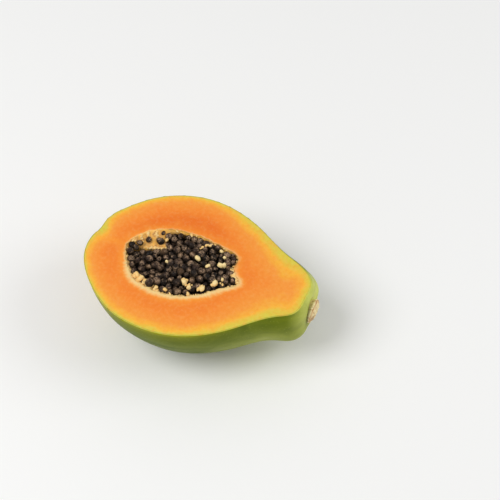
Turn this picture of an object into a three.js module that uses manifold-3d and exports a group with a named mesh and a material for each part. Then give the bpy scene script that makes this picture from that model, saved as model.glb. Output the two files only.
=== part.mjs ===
// A papaya cut in half lengthwise, lying on its skin with the cut face up.
// Units are millimetres. +X runs along the fruit towards the stem end, +Z is up and square to the cut.
import * as THREE from "three";
import { mergeVertices } from "three/addons/utils/BufferGeometryUtils.js";
import Module from "manifold-3d";

const wasm = await Module();
wasm.setup();

// Driving dimensions of the fruit
const FRUIT_LENGTH = 155;
// Fullness of the pear-shaped outline at eight even steps from the blossom end to the stem end.
// A fullness of 1 would be a sphere as wide as the fruit is long.
const FULLNESS = [0.6, 0.715, 0.729, 0.709, 0.659, 0.57, 0.512, 0.73];
const AXIS_DEPTH = 7.2; // the core line's depth under the cut at mid length
const AXIS_DROOP = 11.2; // how much deeper it is at the stem end
const AXIS_BOW = 2.7; // how far the fruit bows towards the near side at both ends
const REST_FLAT_DEPTH = 1.2; // the belly is pressed flat by this much where it rests

// The stem end's shoulder and basin, which set in from this place along the fruit
const STEM_END_FROM = 0.9;
const SHOULDER = { push: 3.2, radius: 18, width: 8 };
const SHOULDER_FACING = { even: 0.38, turned: 0.62, turn: -0.5 }; // it is highest under the far side
const BASIN = { depth: 4, radius: 11 };

// Five low ribs round the stem end, as a share of the radius
const RIBS = { count: 5, height: 0.05, turn: 0.5, from: 0.86, full: 0.99 };

// Radii within which the skin's lumps and its shoulder fade out, so that the ends stay closed
const LUMP_FADE = 12;
const SHOULDER_FADE = 6;

// Low lumps and dents of the skin: height, place along the fruit, length, and the angle that they face
const LUMPS = [
  { height: -1.9, at: 0.035, width: 0.022, turn: 0.15, spread: 2 }, // crescent dent at the blossom end
  { height: 1.5, at: 0.095, width: 0.05, turn: 0.15, spread: 2 }, // swelling behind it
  { height: 1.5, at: 0.955, width: 0.04, turn: -0.7, spread: 4 }, // far side of the neck
];

// The seed cavity's outline in the cut, from the stem side round by the far side
const CAVITY_OUTLINE = [
  [27, -5], [21.5, 4], [22, 14], [6, 21], [-10, 24.8], [-30, 24.3], [-45, 16.5],
  [-51.5, 7], [-48, -6], [-41.5, -16], [-30, -22], [-14, -24.3], [2, -20.8], [16, -12],
];
const CAVITY_CENTRE = { x: -13, y: 0 };
const CAVITY_DEPTH = 32;
const CAVITY_ABOVE = 12; // height of the cutter over the cut
const CAVITY_FULLNESS = 0.8; // under 1 makes the walls steeper than a bowl's

// Seeds
const SEED_COUNT = 128;
const SEED_RADIUS = 2.5;
const SEED_SPREAD = 0.3; // the most that a seed's radius differs from it
const SEED_SPACING = 2.03; // distance between neighbours, in radii
const SEED_PASSES = 60;
const SEED_JITTER = 1; // the most that a seed sits over or under the bed's top
const BED_TOP = -1.4; // the height of the seeds' middles at the cavity's wall
const BED_CROWN = 2.2; // how much higher they are in the middle
const BED_WAVE = { height: 0.7, x: 0.21, y: 0.27, turn: 1 };
const BARE_PATCH = { x: -35, y: 20, radius: 11, drop: 6 }; // where few seeds are left at the far wall
const CORE_DROP = 1.7; // how far the core's top is under the seeds' middles
const CORE_INSET = 1.6; // how far it is from the cavity's wall
const RANDOM_SEED = 20;
const GAP = 0.4; // clearance between neighbouring pieces

// Facet counts
const FRUIT_FACETS = { around: 60, along: 46 };
const CAVITY_FACETS = { around: 48, down: 20 };
const CORE_FACETS = { around: 28, down: 12 };
const SEED_FACETS = { around: 6, down: 4 };
const STUMP_FACETS = 30;
const OUTLINE_SAMPLES = 560;

// Pale unripe seeds that lie on the bed: place and radius
const PALE_SEEDS = [
  [2.2, 7.5, 2.5], [20.2, 4.2, 2.2], [16.2, 3.6, 2.4], [10, 1.6, 2.1], [18.4, 14.2, 1.6],
  [20.6, 9.2, 1.5], [19, -6, 1.8], [-6, -13.2, 2.9], [-1, -16, 2.3], [6.5, -16, 2.4], [14, -10.4, 3.1],
];

// The dry stump of the stem
const STUMP_RADIUS = 8.4;
const STUMP_PROUD = 5.6; // height of its rim over the basin's floor
const STUMP_ROOT = 2.5; // how deep it sits in the flesh
const STUMP_LEAN = { y: -0.18, z: -0.04 }; // its axis, for each unit along the fruit
const STUMP_WAVES = [[5, 0.05, 0], [2, 0.04, 0.7]]; // count round the rim, share of the radius and turn

const skin = new THREE.MeshStandardMaterial({ color: 0x8a9a3a, roughness: 0.45, metalness: 0 });
const seedCoat = new THREE.MeshStandardMaterial({ color: 0x2a2320, roughness: 0.35, metalness: 0 });
const cork = new THREE.MeshStandardMaterial({ color: 0xc8a468, roughness: 0.8, metalness: 0 });

const clamp01 = (t) => Math.min(1, Math.max(0, t));
const smoothstep = (from, to, t) => {
  const s = clamp01((t - from) / (to - from));
  return s * s * (3 - 2 * s);
};
const bell = (t, centre, width) => Math.exp(-(((t - centre) / width) ** 2));

// Random numbers from 0 to 1, the same on every run
function randomNumbers(start) {
  let state = start >>> 0;
  return () => {
    state = (state + 0x6d2b79f5) >>> 0;
    let t = state;
    t = Math.imul(t ^ (t >>> 15), t | 1);
    t ^= t + Math.imul(t ^ (t >>> 7), t | 61);
    return ((t ^ (t >>> 14)) >>> 0) / 4294967296;
  };
}

// Natural cubic curve through values at even steps from 0 to 1
function evenCurve(values) {
  const last = values.length - 1;
  const bend = new Array(values.length).fill(0);
  const upper = new Array(values.length).fill(0);
  for (let i = 1; i < last; i++) {
    const pull = 6 * (values[i + 1] - 2 * values[i] + values[i - 1]);
    const pivot = 4 - upper[i - 1];
    upper[i] = 1 / pivot;
    bend[i] = (pull - bend[i - 1]) / pivot;
  }
  for (let i = last - 1; i > 0; i--) bend[i] -= upper[i] * bend[i + 1];
  return (t) => {
    const i = Math.min(last - 1, Math.max(0, Math.floor(t * last)));
    const b = t * last - i;
    const a = 1 - b;
    const curved = ((a ** 3 - a) * bend[i] + (b ** 3 - b) * bend[i + 1]) / 6;
    return a * values[i] + b * values[i + 1] + curved;
  };
}
const fullness = evenCurve(FULLNESS);

// The fruit's core line, which droops and bows; u runs from 0 at the blossom end to 1 at the stem end
function coreLine(u) {
  const s = 2 * u - 1;
  return new THREE.Vector3(
    (s * FRUIT_LENGTH) / 2,
    -AXIS_BOW * (s * s - 1 / 3),
    -AXIS_DEPTH - AXIS_DROOP * s,
  );
}

// A point of the skin at u along the fruit and at angle phi round it, measured from the far side
function skinPoint(u, phi) {
  let radius = FRUIT_LENGTH * Math.sqrt(u * (1 - u)) * fullness(u);
  radius *= 1 + RIBS.height * smoothstep(RIBS.from, RIBS.full, u) * Math.cos(RIBS.count * phi + RIBS.turn);
  const offAxis = smoothstep(0, LUMP_FADE, radius);
  for (const { height, at, width, turn, spread } of LUMPS) {
    radius += offAxis * height * bell(u, at, width) * (0.5 + 0.5 * Math.cos(phi - turn)) ** spread;
  }
  const facing = SHOULDER_FACING.even + SHOULDER_FACING.turned * Math.cos(phi - SHOULDER_FACING.turn);
  const push = SHOULDER.push * facing * smoothstep(0, SHOULDER_FADE, radius);
  const shoulder = push * bell(radius, SHOULDER.radius, SHOULDER.width);
  const basin = BASIN.depth * bell(radius, 0, BASIN.radius);
  const point = coreLine(u);
  point.x += smoothstep(STEM_END_FROM, 1, u) * (shoulder - basin);
  point.y += radius * Math.cos(phi);
  point.z += radius * Math.sin(phi);
  return point;
}

// Moves every vertex of a geometry by a function that takes and returns a Vector3
function reshape(geometry, move) {
  const position = geometry.getAttribute("position");
  const vertex = new THREE.Vector3();
  for (let i = 0; i < position.count; i++) {
    const moved = move(vertex.fromBufferAttribute(position, i));
    position.setXYZ(i, moved.x, moved.y, moved.z);
  }
  return geometry;
}

// Turns a closed geometry into a solid that can be joined and cut
function solid(geometry) {
  const bare = geometry.clone();
  for (const name of Object.keys(bare.attributes)) if (name !== "position") bare.deleteAttribute(name);
  const merged = mergeVertices(bare, 1e-4);
  return new wasm.Manifold(
    new wasm.Mesh({
      numProp: 3,
      vertProperties: new Float32Array(merged.attributes.position.array),
      triVerts: new Uint32Array(merged.index.array),
    }),
  );
}

function geometryOf(made) {
  const mesh = made.getMesh();
  const geometry = new THREE.BufferGeometry();
  geometry.setAttribute("position", new THREE.BufferAttribute(new Float32Array(mesh.vertProperties), 3));
  geometry.setIndex(new THREE.BufferAttribute(new Uint32Array(mesh.triVerts), 1));
  geometry.computeVertexNormals();
  return geometry;
}

// The cavity outline's reach from its centre, as a function of the direction
function outlineReach(points, centre) {
  const corners = points.map(([x, y]) => new THREE.Vector3(x - centre.x, y - centre.y, 0));
  const curve = new THREE.CatmullRomCurve3(corners, true, "centripetal");
  const samples = curve.getPoints(OUTLINE_SAMPLES).map((p) => [Math.atan2(p.y, p.x), Math.hypot(p.x, p.y)]);
  samples.sort((a, b) => a[0] - b[0]);
  const turn = 2 * Math.PI;
  const first = samples[0];
  const last = samples[samples.length - 1];
  const round = [[last[0] - turn, last[1]], ...samples, [first[0] + turn, first[1]]];
  return (angle) => {
    const i = Math.max(1, round.findIndex((s) => s[0] >= angle));
    const [a, ra] = round[i - 1];
    const [b, rb] = round[i];
    const share = b > a ? (angle - a) / (b - a) : 0;
    return ra + (rb - ra) * share;
  };
}
const cavityReach = outlineReach(CAVITY_OUTLINE, CAVITY_CENTRE);
const cavityBox = new THREE.Box2().setFromPoints(CAVITY_OUTLINE.map(([x, y]) => new THREE.Vector2(x, y)));

// Where a point of the unit ball is in plan when the ball fills the cavity, drawn in by inset
function inCavity(v, inset) {
  const angle = Math.atan2(-v.z, v.x);
  const reach = (cavityReach(angle) - inset) * Math.hypot(v.x, v.z) ** CAVITY_FULLNESS;
  return [CAVITY_CENTRE.x + reach * Math.cos(angle), CAVITY_CENTRE.y + reach * Math.sin(angle)];
}

// The cavity as a closed solid that also stands over the cut
function cavitySolid() {
  const ball = new THREE.SphereGeometry(1, CAVITY_FACETS.around, CAVITY_FACETS.down);
  reshape(ball, (v) => {
    const height = v.y > 0 ? CAVITY_ABOVE : CAVITY_DEPTH;
    return v.set(...inCavity(v, 0), v.y * height);
  });
  return solid(ball);
}

// A block wider than the fruit, between two heights
function slab(bottom, top) {
  const block = new THREE.BoxGeometry(2 * FRUIT_LENGTH, 2 * FRUIT_LENGTH, top - bottom);
  return solid(block.translate(0, 0, (bottom + top) / 2));
}

// The stem's stump about its own axis: a narrow foot that flares to a corky rim with a hollow face
function stumpGeometry(grow) {
  const r = STUMP_RADIUS + grow;
  const rim = STUMP_PROUD + grow;
  const profile = [
    [0, -STUMP_ROOT - grow],
    [r * 0.74, -STUMP_ROOT - grow],
    [r * 0.8, rim * 0.2],
    [r * 0.97, rim * 0.45],
    [r, rim * 0.66],
    [r * 0.96, rim * 0.87],
    [r * 0.83, rim],
    [r * 0.64, rim * 0.93],
    [r * 0.4, rim * 0.74],
    [0, rim * 0.68],
  ];
  const lathe = new THREE.LatheGeometry(profile.map(([x, y]) => new THREE.Vector2(x, y)), STUMP_FACETS);
  return reshape(lathe, (v) => {
    const angle = Math.atan2(v.z, v.x);
    const swells = STUMP_WAVES.map(([count, share, turn]) => share * Math.cos(count * angle + turn));
    const wave = swells.reduce((sum, swell) => sum + swell, 1);
    return v.set(v.x * wave, v.y, v.z * wave);
  });
}

// Stands the stump in the basin, leaning a little from the core line
const stumpSeat = (() => {
  const outward = new THREE.Vector3(1, STUMP_LEAN.y, STUMP_LEAN.z).normalize();
  const turn = new THREE.Quaternion().setFromUnitVectors(new THREE.Vector3(0, 1, 0), outward);
  return new THREE.Matrix4().compose(skinPoint(1, 0), turn, new THREE.Vector3(1, 1, 1));
})();

function wholeFruit() {
  const ball = new THREE.SphereGeometry(1, FRUIT_FACETS.around, FRUIT_FACETS.along);
  reshape(ball, (v) => {
    const point = skinPoint(clamp01((v.y + 1) / 2), Math.atan2(-v.z, v.x));
    return v.copy(point);
  });
  return solid(ball);
}

// The bed's top surface: crowned, and low where the seeds have fallen out at the far wall
function bedHeight(x, y) {
  const dx = x - CAVITY_CENTRE.x;
  const dy = y - CAVITY_CENTRE.y;
  const share = Math.hypot(dx, dy) / cavityReach(Math.atan2(dy, dx));
  const bare = Math.hypot(x - BARE_PATCH.x, y - BARE_PATCH.y) / BARE_PATCH.radius;
  const wave = BED_WAVE.height * Math.sin(x * BED_WAVE.x + BED_WAVE.turn) * Math.cos(y * BED_WAVE.y);
  return BED_TOP + BED_CROWN * (1 - share * share) + wave - BARE_PATCH.drop * Math.exp(-bare * bare);
}

// How far a place in the cavity is from its wall, along the line from the centre
function roomAt(x, y) {
  const dx = x - CAVITY_CENTRE.x;
  const dy = y - CAVITY_CENTRE.y;
  return cavityReach(Math.atan2(dy, dx)) - Math.hypot(dx, dy);
}

// Pushes seeds that are too close apart, and those in the wall back inside
function spreadOut(seeds) {
  for (let i = 0; i < seeds.length; i++) {
    for (let j = 0; j < i; j++) {
      const a = seeds[i];
      const b = seeds[j];
      const apart = Math.hypot(a.x - b.x, a.y - b.y) + 1e-6;
      const short = (SEED_SPACING * (a.radius + b.radius)) / 2 - apart;
      if (short <= 0) continue;
      const share = short / apart / 2;
      const step = { x: (a.x - b.x) * share, y: (a.y - b.y) * share };
      if (!a.fixed) a.x += step.x;
      if (!a.fixed) a.y += step.y;
      if (!b.fixed) b.x -= step.x;
      if (!b.fixed) b.y -= step.y;
    }
  }
  for (const seed of seeds) {
    const lack = seed.radius + 2 * GAP - roomAt(seed.x, seed.y);
    if (lack <= 0) continue;
    const far = Math.hypot(seed.x - CAVITY_CENTRE.x, seed.y - CAVITY_CENTRE.y);
    seed.x -= ((seed.x - CAVITY_CENTRE.x) * lack) / far;
    seed.y -= ((seed.y - CAVITY_CENTRE.y) * lack) / far;
  }
}

// Every seed's place and radius: the pale ones first, then the others thrown in and spread out
function seedPlaces() {
  const random = randomNumbers(RANDOM_SEED);
  const seeds = PALE_SEEDS.map(([x, y, radius]) => ({ x, y, radius, lift: 1, fixed: true }));
  while (seeds.length < SEED_COUNT) {
    const x = THREE.MathUtils.lerp(cavityBox.min.x, cavityBox.max.x, random());
    const y = THREE.MathUtils.lerp(cavityBox.min.y, cavityBox.max.y, random());
    const radius = SEED_RADIUS + SEED_SPREAD * (2 * random() - 1);
    const lift = SEED_JITTER * (2 * random() - 1);
    if (roomAt(x, y) > radius + 2 * GAP) seeds.push({ x, y, radius, lift, fixed: false });
  }
  for (let pass = 0; pass < SEED_PASSES; pass++) spreadOut(seeds);
  return seeds.map((seed) => ({ ...seed, z: bedHeight(seed.x, seed.y) + seed.lift, turn: seed.x }));
}

// The core that the seeds stand out of: the cavity's lower part, drawn in from the wall
function bedCore() {
  const ball = new THREE.SphereGeometry(1, CORE_FACETS.around, CORE_FACETS.down);
  reshape(ball, (v) => {
    const [x, y] = inCavity(v, CORE_INSET);
    const top = bedHeight(x, y) - CORE_DROP;
    const under = Math.min(v.y * (CAVITY_DEPTH - CORE_INSET), top + 2 * v.y);
    return v.set(x, y, v.y < 0 ? under : top);
  });
  return solid(ball);
}

function seedMass() {
  const pieces = seedPlaces().map((seed) => {
    const grain = new THREE.SphereGeometry(seed.radius, SEED_FACETS.around, SEED_FACETS.down);
    grain.rotateX(Math.PI / 2).rotateZ(seed.turn);
    return solid(grain.translate(seed.x, seed.y, seed.z));
  });
  pieces.push(bedCore());
  return wasm.Manifold.union(pieces);
}

function fruitHalf() {
  const half = wholeFruit().intersect(slab(restHeight, 0));
  const socket = solid(stumpGeometry(GAP).applyMatrix4(stumpSeat));
  return half.subtract(cavitySolid()).subtract(socket);
}

// The lowest height that the belly reaches, less what is pressed flat
const restHeight = (() => {
  let lowest = 0;
  for (let u = 0.2; u < 0.8; u += 0.002) lowest = Math.min(lowest, skinPoint(u, -Math.PI / 2).z);
  return lowest + REST_FLAT_DEPTH;
})();

// The largest piece of a cut solid, without the crumbs that a cut can leave
function largestBody(made) {
  return made.decompose().sort((a, b) => b.volume() - a.volume())[0];
}

function named(name, made, material) {
  const mesh = new THREE.Mesh(geometryOf(largestBody(made)), material);
  mesh.name = name;
  return mesh;
}

const papaya = new THREE.Group();
const half = new THREE.Group();
half.add(named("fruit_half", fruitHalf(), skin));
half.add(named("seed_mass", seedMass(), seedCoat));
half.add(named("stem_stump", solid(stumpGeometry(0).applyMatrix4(stumpSeat)), cork));

// The origin is under the middle of the fruit, on the surface that it rests on
const bounds = new THREE.Box3().setFromObject(half);
const middle = bounds.getCenter(new THREE.Vector3());
half.position.set(-middle.x, -middle.y, -bounds.min.z);
papaya.add(half);

export default papaya;
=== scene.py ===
import math
import random

import bmesh
import bpy
from bpy.props import FloatProperty, FloatVectorProperty, IntProperty, PointerProperty
from mathutils import Matrix, Quaternion, Vector, kdtree, noise


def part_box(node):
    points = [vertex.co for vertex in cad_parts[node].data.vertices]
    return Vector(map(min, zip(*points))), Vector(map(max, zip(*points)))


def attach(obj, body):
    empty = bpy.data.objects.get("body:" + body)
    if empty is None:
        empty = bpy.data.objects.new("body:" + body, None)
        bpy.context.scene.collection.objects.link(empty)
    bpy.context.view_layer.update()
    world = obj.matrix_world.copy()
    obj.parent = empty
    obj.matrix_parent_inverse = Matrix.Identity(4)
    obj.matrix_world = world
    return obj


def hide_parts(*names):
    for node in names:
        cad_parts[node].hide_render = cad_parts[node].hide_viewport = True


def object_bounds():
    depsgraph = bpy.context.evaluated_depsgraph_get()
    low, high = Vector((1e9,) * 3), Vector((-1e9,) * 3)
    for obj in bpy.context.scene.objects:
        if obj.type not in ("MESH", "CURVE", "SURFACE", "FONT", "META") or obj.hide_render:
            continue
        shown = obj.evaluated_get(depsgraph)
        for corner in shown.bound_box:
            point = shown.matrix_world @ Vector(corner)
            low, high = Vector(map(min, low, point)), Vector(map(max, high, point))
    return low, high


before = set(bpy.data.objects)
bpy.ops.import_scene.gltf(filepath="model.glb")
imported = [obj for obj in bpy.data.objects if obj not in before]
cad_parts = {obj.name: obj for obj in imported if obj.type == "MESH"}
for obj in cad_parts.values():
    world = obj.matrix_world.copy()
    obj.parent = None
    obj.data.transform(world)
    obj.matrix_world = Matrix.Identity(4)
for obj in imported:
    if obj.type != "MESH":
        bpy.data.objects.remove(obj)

bl_info = {
    "name": "Papaya half",
    "version": (1, 0, 0),
    "blender": (4, 5, 0),
    "location": "3D View > Sidebar > Papaya",
    "description": "Models the flesh, skin, seeds, pulp and dry stem stump of a papaya cut in half",
    "category": "Add Mesh",
}

CAD_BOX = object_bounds()
FRUIT_LOW, FRUIT_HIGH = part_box("fruit_half")
MM = 0.001


def srgb(red, green, blue):
    """The linear colour of an 8-bit display colour, with full alpha."""

    def linear(value):
        share = value / 255
        return share / 12.92 if share <= 0.04045 else ((share + 0.055) / 1.055) ** 2.4

    return linear(red), linear(green), linear(blue), 1.0


def colour(name, description, value):
    """A colour setting."""
    return FloatVectorProperty(
        name=name, description=description, default=value, size=4, min=0, max=1, subtype="COLOR"
    )


def number(name, description, default, **more):
    """A number setting."""
    return FloatProperty(name=name, description=description, default=default, **more)


def length(name, description, millimetres):
    """A length setting, given in millimetres and kept in metres."""
    return number(name, description, millimetres * MM, unit="LENGTH", precision=5)


class FruitSettings(bpy.types.PropertyGroup):
    """Sizes of the fruit half; the cut is at zero height and the blossom end at the low X."""

    length: length("Length", "Length of the whole fruit", 155)
    fullness: FloatVectorProperty(
        name="Fullness",
        description="Width of the fruit at even steps from the blossom end, as a share of a sphere's",
        default=(0.6, 0.715, 0.729, 0.709, 0.659, 0.57, 0.512, 0.73),
        size=8,
    )
    axis_depth: length("Core depth", "Depth of the core line under the cut at mid length", 7.2)
    axis_droop: length("Core droop", "How much deeper the core line is at the stem end", 11.2)
    axis_bow: length("Core bow", "How far both ends bow towards the near side", 2.7)
    shoulder_push: length("Shoulder", "Height of the shoulder round the stem end", 3.2)
    shoulder_radius: length("Shoulder radius", "Radius of the shoulder round the stem end", 18)
    shoulder_width: length("Shoulder width", "Width of the shoulder's roll", 8)
    basin_depth: length("Basin depth", "Depth of the basin that the stem sits in", 4)
    basin_radius: length("Basin radius", "Radius of the basin that the stem sits in", 11)
    edge_roll: length("Edge roll", "How far the cut's edge rounds over into the skin", 0.35)
    around: IntProperty(name="Steps round", description="Faces round the fruit", default=200, min=24)
    along: IntProperty(name="Steps along", description="Faces from end to end", default=150, min=24)


class CavitySettings(bpy.types.PropertyGroup):
    """Sizes of the seed cavity."""

    centre: FloatVectorProperty(
        name="Centre",
        description="Middle of the cavity in the cut",
        default=(-0.013, 0.0),
        size=2,
        unit="LENGTH",
    )
    depth: length("Depth", "Depth of the cavity under the cut", 32)
    fullness: number("Fullness", "Under 1 makes the walls steeper", 0.8, min=0.3)
    raggedness: length("Raggedness", "How far the lining's torn edge wanders", 0.55)


class SeedSettings(bpy.types.PropertyGroup):
    """Sizes and colours of the seeds."""

    count: IntProperty(name="Count", description="Seeds in the top layer", default=128, min=20)
    under_count: IntProperty(name="Lower count", description="Seeds seen in the gaps between those", default=95)
    radius: length("Radius", "Mean radius that spaces the seeds", 2.5)
    spread: length("Spread", "The most that a seed's radius differs from the mean", 0.3)
    lift: length("Lift", "The most that a seed sits over or under the bed", 1.0)
    swell: number("Swell", "Size of a seed's coat over its spacing radius", 1.0)
    dark: colour("Dark coat", "Colour of the darkest seeds", srgb(22, 13, 7))
    brown: colour("Brown coat", "Colour of the lighter seeds", srgb(66, 46, 34))
    # Light crests of the wrinkles: partly the coat's own tan and partly a painted highlight
    ridge_highlight: colour("Ridges", "Light ridges of the wrinkled coat", srgb(226, 186, 148))
    olive: colour("Olive coat", "Colour of seeds with a thick clear coat", srgb(102, 76, 50))
    # Painted shade: near-black laid on the seeds' lower flanks and on the mound under them
    painted_shade: colour("Juice", "Dark juice on the undersides of the seeds", srgb(14, 8, 4))
    cream: colour("Unripe seed", "Colour of the pale unripe seeds", srgb(255, 216, 138))
    butter: colour("Butter", "Lightest patches of the unripe seeds", srgb(255, 236, 180))


class FleshSettings(bpy.types.PropertyGroup):
    """Colours of the cut flesh from the skin inwards, and of the cavity's lining."""

    skin_line: colour("Skin line", "Cut edge of the skin itself", srgb(122, 134, 26))
    rind: colour("Rind", "Firm flesh right under the skin", srgb(208, 210, 76))
    outer: colour("Outer flesh", "Yellow-orange flesh under the rind", srgb(250, 183, 58))
    middle: colour("Middle flesh", "Orange flesh", srgb(248, 155, 58))
    deep: colour("Deep flesh", "Deep orange flesh", srgb(247, 139, 46))
    deepest: colour("Deepest flesh", "Reddish orange flesh of the far side", srgb(238, 118, 30))
    glow: colour("Glow", "Lighter orange flesh round the cavity", srgb(254, 166, 52))
    halo: colour("Halo", "Pale flesh next to the cavity", srgb(246, 210, 142))
    lining: colour("Lining", "The cavity's lining", srgb(254, 188, 76))
    fibre: colour("Fibre", "Brown fibres on the lining", srgb(168, 106, 42))


class SkinSettings(bpy.types.PropertyGroup):
    """Colours of the skin."""

    olive: colour("Olive", "Main green of the skin", srgb(112, 124, 16))
    deep: colour("Deep green", "Green in the neck's folds and streaks", srgb(76, 94, 6))
    # Pale sage: the stem end's own pale green and fine specks, also laid on as painted light on the stem end's
    # far side and as a painted sheen low on the neck
    sage: colour("Sage", "Pale green of the stem end", srgb(216, 222, 104))
    # Painted shade in the hollow round the stem, most on its near side
    groove_shade: colour("Groove", "Dark olive of the groove round the stem", srgb(84, 98, 0))
    under_cut: colour("Under the cut", "Light yellow green right under the cut", srgb(162, 160, 16))
    ripe: colour("Ripe yellow", "Yellow of the ripening patches", srgb(212, 176, 34))
    blush: colour("Blush", "Orange of the ripest patches", srgb(226, 146, 28))


class StumpSettings(bpy.types.PropertyGroup):
    """Sizes and colours of the dry stem stump."""

    radius: length("Radius", "Radius of the stump", 8.4)
    proud: length("Height", "Height of its rim over the basin's floor", 5.6)
    lean: FloatVectorProperty(name="Lean", description="Its axis", default=(1, -0.18, -0.04), size=3)
    cork: colour("Cork", "Side of the stump", srgb(248, 220, 160))
    rim: colour("Rim", "Pale rim", srgb(255, 238, 182))
    ring: colour("Ring", "Tan ring in the face", srgb(202, 150, 88))
    heart: colour("Heart", "Brown middle", srgb(146, 88, 42))


class StudioSettings(bpy.types.PropertyGroup):
    """Camera, floor and light."""

    azimuth: number("Azimuth", "Turn of the camera round the fruit", math.radians(14.2), subtype="ANGLE")
    elevation: number("Elevation", "Height of the camera over the horizon", math.radians(57), subtype="ANGLE")
    distance: number("Distance", "Distance of the camera", 0.95, unit="LENGTH")
    focal: number("Focal length", "Focal length in millimetres", 105.12)
    aim_right: length("Aim right", "How far the view's middle is to the right of the fruit's", 32.6)
    aim_up: length("Aim up", "How far the view's middle is above the fruit's", 11.9)
    floor: colour("Floor", "Colour of the floor", (0.94, 0.94, 0.93, 1))
    floor_spots: colour("Floor spots", "Colour of the floor's faint spots", (0.7, 0.7, 0.7, 1))
    key: number("Key light", "Power of the main soft light in watts", 14.0)
    fill: number("Fill light", "Power of the fill light in watts", 6.5)
    sky: number("Sky", "Strength of the light from all round", 0.46)


# Places that the shapes share, in millimetres of the fruit's own frame
BLOSSOM_REACH = 77.187
SIDE_SHIFT = 0.85
LUMPS = (
    # height, place along the fruit, length along it, angle that it faces, falloff round the fruit
    (-1.9, 0.035, 0.022, 0.15, 2),
    (1.5, 0.095, 0.05, 0.15, 2),
    (-1.2, 0.031, 0.008, 0.15, 5),
    (2.2, 0.047, 0.009, 0.15, 5),
    (2.5, 0.064, 0.026, 0.15, 3),
    (1.5, 0.955, 0.04, -0.7, 4),
)
LUMP_FADE = 12
SHOULDER_FADE = 6
SHOULDER_EVEN = 0.38
SHOULDER_TURNED = 0.62
SHOULDER_TURN = -0.5
STEM_END_FROM = 0.9
RIB_COUNT = 5
RIB_HEIGHT = 0.05
RIB_TURN = 0.5
RIB_FROM = 0.86
RIB_FULL = 0.99

CAVITY_OUTLINE = (
    (27, -5), (21.5, 4), (22, 14), (6, 21), (-10, 24.8), (-30, 24.3), (-45, 16.5),
    (-51.5, 7), (-48, -6), (-41.5, -16), (-30, -22), (-14, -24.3), (2, -20.8), (16, -12),
)
OUTLINE_STEPS = 40
BED_TOP = -1.4
BED_CROWN = 2.2
BED_WAVE_HEIGHT = 0.7
BED_WAVES = (0.21, 0.27)
BARE_PATCH = (-34, 15)
BARE_RADIUS = 12
BARE_DROP = 6
BANK_REACH = 13
BANK_TURN = 2.57
BANK_SPREAD = 0.36
BANK_DROP = 5
BANK_MARGIN = 1.3
TOP_GAP = 0.1
LONE_SEEDS = (
    # place in the cut, height and radius
    (-38.8, 14, -1.7, 2.3), (-31.4, 15.6, -2.2, 2.5), (-31, 21.6, -0.7, 1.7), (-43.6, 10, -1.6, 2.3),
    (-48.5, 7.8, -1, 2.2),
)
LINING_SCARS = (
    # place in the cut and radius of the brown spots where seeds were torn out
    (-46.4, 13.2, 1.3), (-42.2, 16.6, 1.2), (-37.6, 18.6, 1.2), (-41.4, 13, 1.3), (-33, 18.6, 1.1),
    (-29, 20.4, 1.2),
)
LEDGE_TURN = -2.3
LEDGE_SPREAD = 0.5
NOTCH = (-71.5, 14)
NOTCH_RADIUS = 8
RAY = ((-70, 7), (-57, 7.2))
SEED_SPACING = 2.03
SEED_PASSES = 60
SEED_ROOM = 0.8
RANDOM_SEED = 20
FIXED_SEEDS = (
    # place in the cut and radius of the seeds that the others are pushed away from
    (2.2, 7.5, 2.5), (20.2, 4.2, 2.2), (16.2, 3.6, 2.4), (10, 1.6, 2.1), (18.4, 14.2, 1.6), (20.6, 9.2, 1.5),
    (19, -6, 1.8), (-6, -13.2, 2.9), (-1, -16, 2.3), (6.5, -16, 2.4), (14, -10.4, 3.1),
)
PALE_SEEDS = (
    # place in the cut and radius
    (-2.9, 6, 2.3), (12.6, 4.6, 2.3), (15, 5.2, 2.2), (5, 1.6, 1.9), (14, 10.5, 1.4), (10.6, 15.2, 1.6),
    (16.4, -5.7, 1.5), (-21.7, -1.9, 1.2), (-6.7, -13.8, 2.4), (-2.8, -16.8, 1.9), (5.6, -15.4, 2),
    (12.6, -9.8, 2.5),
)
PALE_LIFT = 2.1


def clamp01(value):
    return min(1.0, max(0.0, value))


def smoothstep(start, stop, value):
    share = clamp01((value - start) / (stop - start))
    return share * share * (3 - 2 * share)


def bell(value, centre, width):
    return math.exp(-(((value - centre) / width) ** 2))


def near_side(angle, start=0.35, stop=-0.55):
    """How far a direction in the cut points to the near side."""
    return smoothstep(start, stop, math.sin(angle))


def even_curve(values):
    """A natural cubic curve through values at even steps from 0 to 1."""
    last = len(values) - 1
    bend = [0.0] * len(values)
    upper = [0.0] * len(values)
    for i in range(1, last):
        pull = 6 * (values[i + 1] - 2 * values[i] + values[i - 1])
        pivot = 4 - upper[i - 1]
        upper[i] = 1 / pivot
        bend[i] = (pull - bend[i - 1]) / pivot
    for i in range(last - 1, 0, -1):
        bend[i] -= upper[i] * bend[i + 1]

    def curve(t):
        i = min(last - 1, max(0, math.floor(t * last)))
        b = t * last - i
        a = 1 - b
        curved = ((a**3 - a) * bend[i] + (b**3 - b) * bend[i + 1]) / 6
        return a * values[i] + b * values[i + 1] + curved

    return curve


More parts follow.
